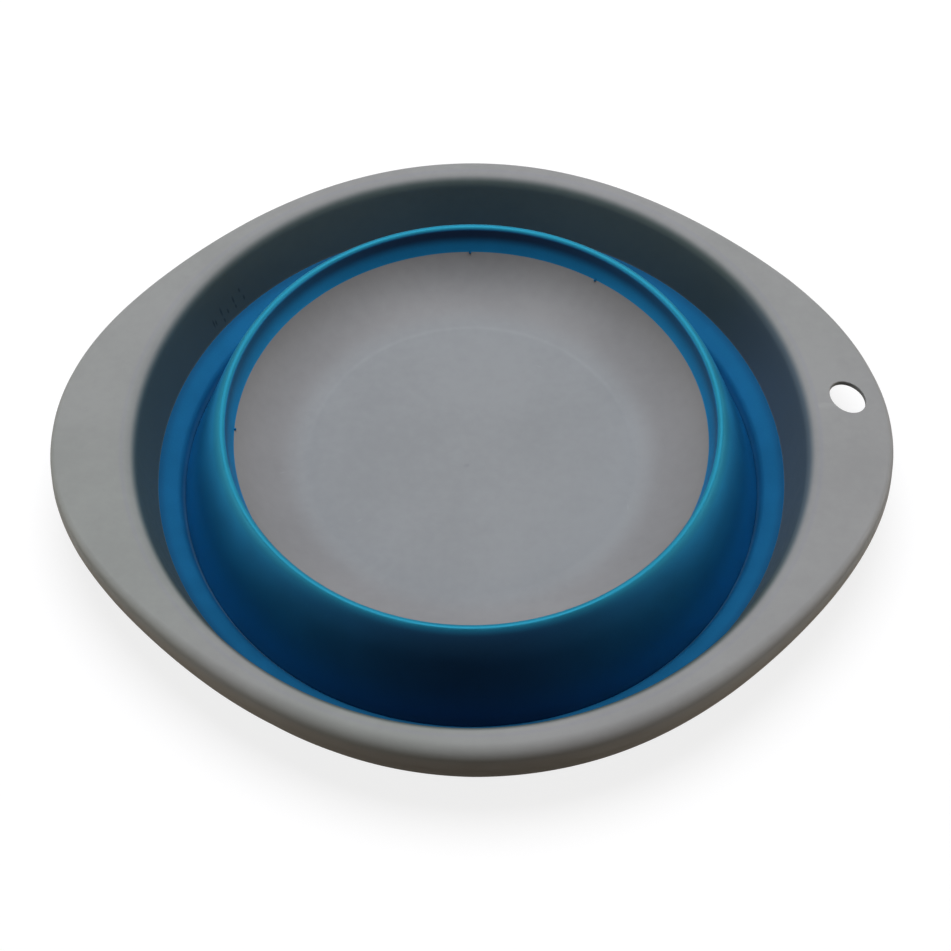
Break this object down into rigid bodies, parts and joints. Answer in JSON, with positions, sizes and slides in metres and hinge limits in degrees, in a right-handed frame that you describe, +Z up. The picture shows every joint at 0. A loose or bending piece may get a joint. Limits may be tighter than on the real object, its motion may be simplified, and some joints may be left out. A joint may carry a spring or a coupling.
{
  "type": "collapsible bowl",
  "caption": "Collapsible camp bowl folded flat: hard lemon-shaped rim with two ears and a hang hole, soft folding wall, hard dished base.",
  "frame": {"origin": "centre of the foot ring, on the surface that the bowl stands on, folded flat", "axes": "+X along the two ears towards the one with the hang hole, +Y towards the side that the hang hole is offset to, +Z up out of the bowl"},
  "size_m": [0.2506, 0.2196, 0.034],
  "materials": {
    "hard_grey": "fine satin moulded polypropylene",
    "soft_blue": "satin thermoplastic elastomer with a soft sheen"
  },
  "bodies": {
    "base": {"base_dish": "hard_grey", "fold_collar": "soft_blue", "flip_panel": "soft_blue"},
    "rim": {"rim_frame": "hard_grey", "upper_band": "soft_blue"}
  },
  "joints": [
    {"name": "unfold", "type": "slide", "parent": "base", "child": "rim", "axis": [0, 0, 1], "range_m": [0, 0.0628], "deforming": ["flip_panel"]}
  ]
}
